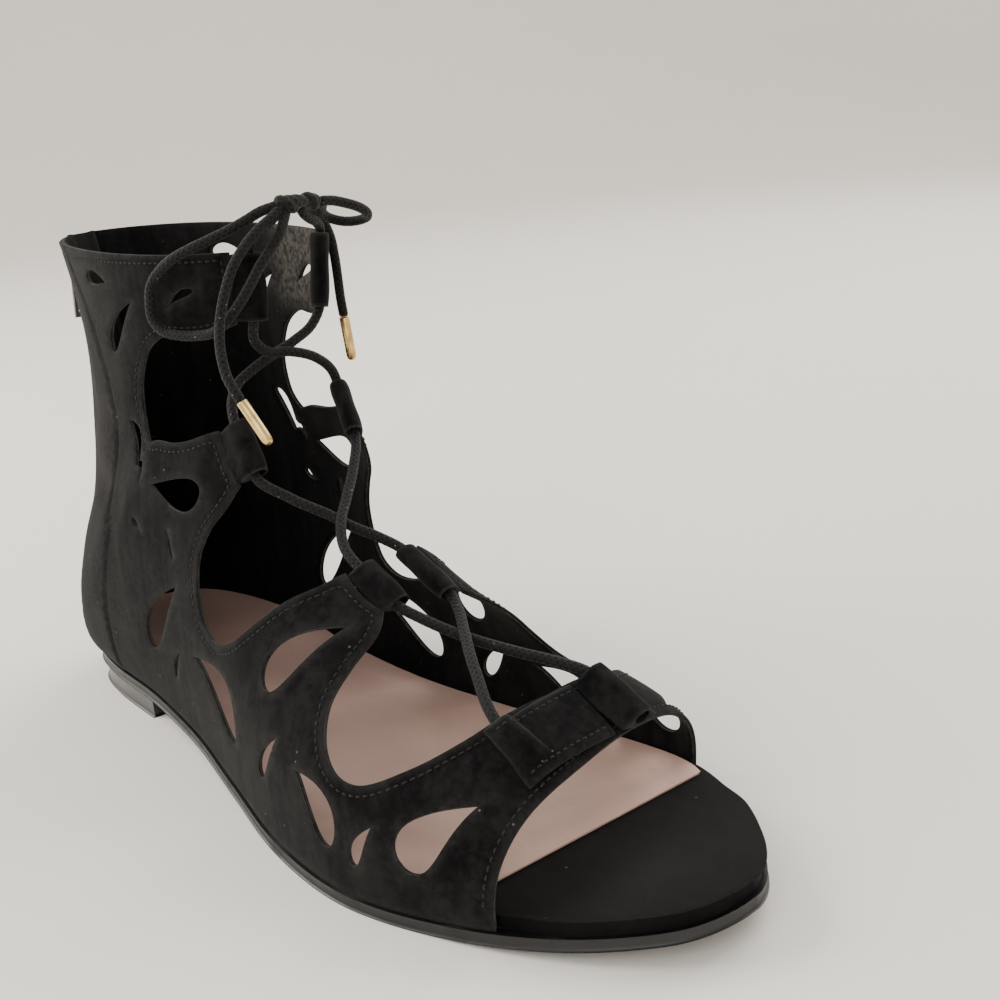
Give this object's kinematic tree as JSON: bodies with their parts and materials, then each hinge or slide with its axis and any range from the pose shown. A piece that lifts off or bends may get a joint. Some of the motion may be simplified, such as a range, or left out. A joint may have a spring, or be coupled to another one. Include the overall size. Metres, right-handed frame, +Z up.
{
  "type": "gladiator sandal",
  "caption": "Right-foot flat open-toe gladiator sandal: cut-out ankle-high upper, lace tunnels with a bowed lace, back zip, footbed and low heel.",
  "frame": {"origin": "on the floor under the middle of the heel block, in the plane of its underside", "axes": "+X from heel to toe along the shoe, +Y to the inner (medial) side of the right foot, +Z up"},
  "size_m": [0.2674, 0.0936, 0.1567],
  "materials": {
    "rubber": "matt black rubber sheet",
    "heel_rubber": "dark grey, slightly glossy",
    "suede": "black suede, napped",
    "liner": "smooth nude pink lining leather",
    "cord": "black woven round cord",
    "gold": "polished gold-coloured metal",
    "tape": "black woven zip tape",
    "zip_metal": "dark coated metal",
    "pull_metal": "dark coated metal, worn at its edges"
  },
  "bodies": {
    "sandal": {"outsole": "rubber", "heel_block": "heel_rubber", "footbed": "suede", "sock_liner": "liner", "upper": "suede", "toe_bridge": "suede", "tunnel_collar_lateral": "suede", "tunnel_ankle_lateral": "suede", "tunnel_instep_lateral": "suede", "tunnel_collar_medial": "suede", "tunnel_ankle_medial": "suede", "tunnel_instep_medial": "suede", "tunnel_toe_medial": "suede", "lace_crossing_toe": "cord", "lace_crossing_instep": "cord", "lace_crossing_ankle": "cord", "lace_knot": "cord", "lace_loop_lateral": "cord", "lace_loop_medial": "cord", "lace_strand_lateral": "cord", "lace_strand_medial": "cord", "lace_end_lateral": "cord", "lace_end_medial": "cord", "aglet_lateral": "gold", "aglet_medial": "gold", "zip_tape": "tape", "zip_chain": "zip_metal", "zip_slider": "zip_metal"},
    "pull_tab": {"zip_pull": "pull_metal"}
  },
  "joints": [
    {"name": "pull_tab_hinge", "type": "hinge", "parent": "sandal", "child": "pull_tab", "pos_m": [-0.02778, 0, 0.13443], "axis": [0, 1, 0], "range_deg": [-10, 140]}
  ]
}
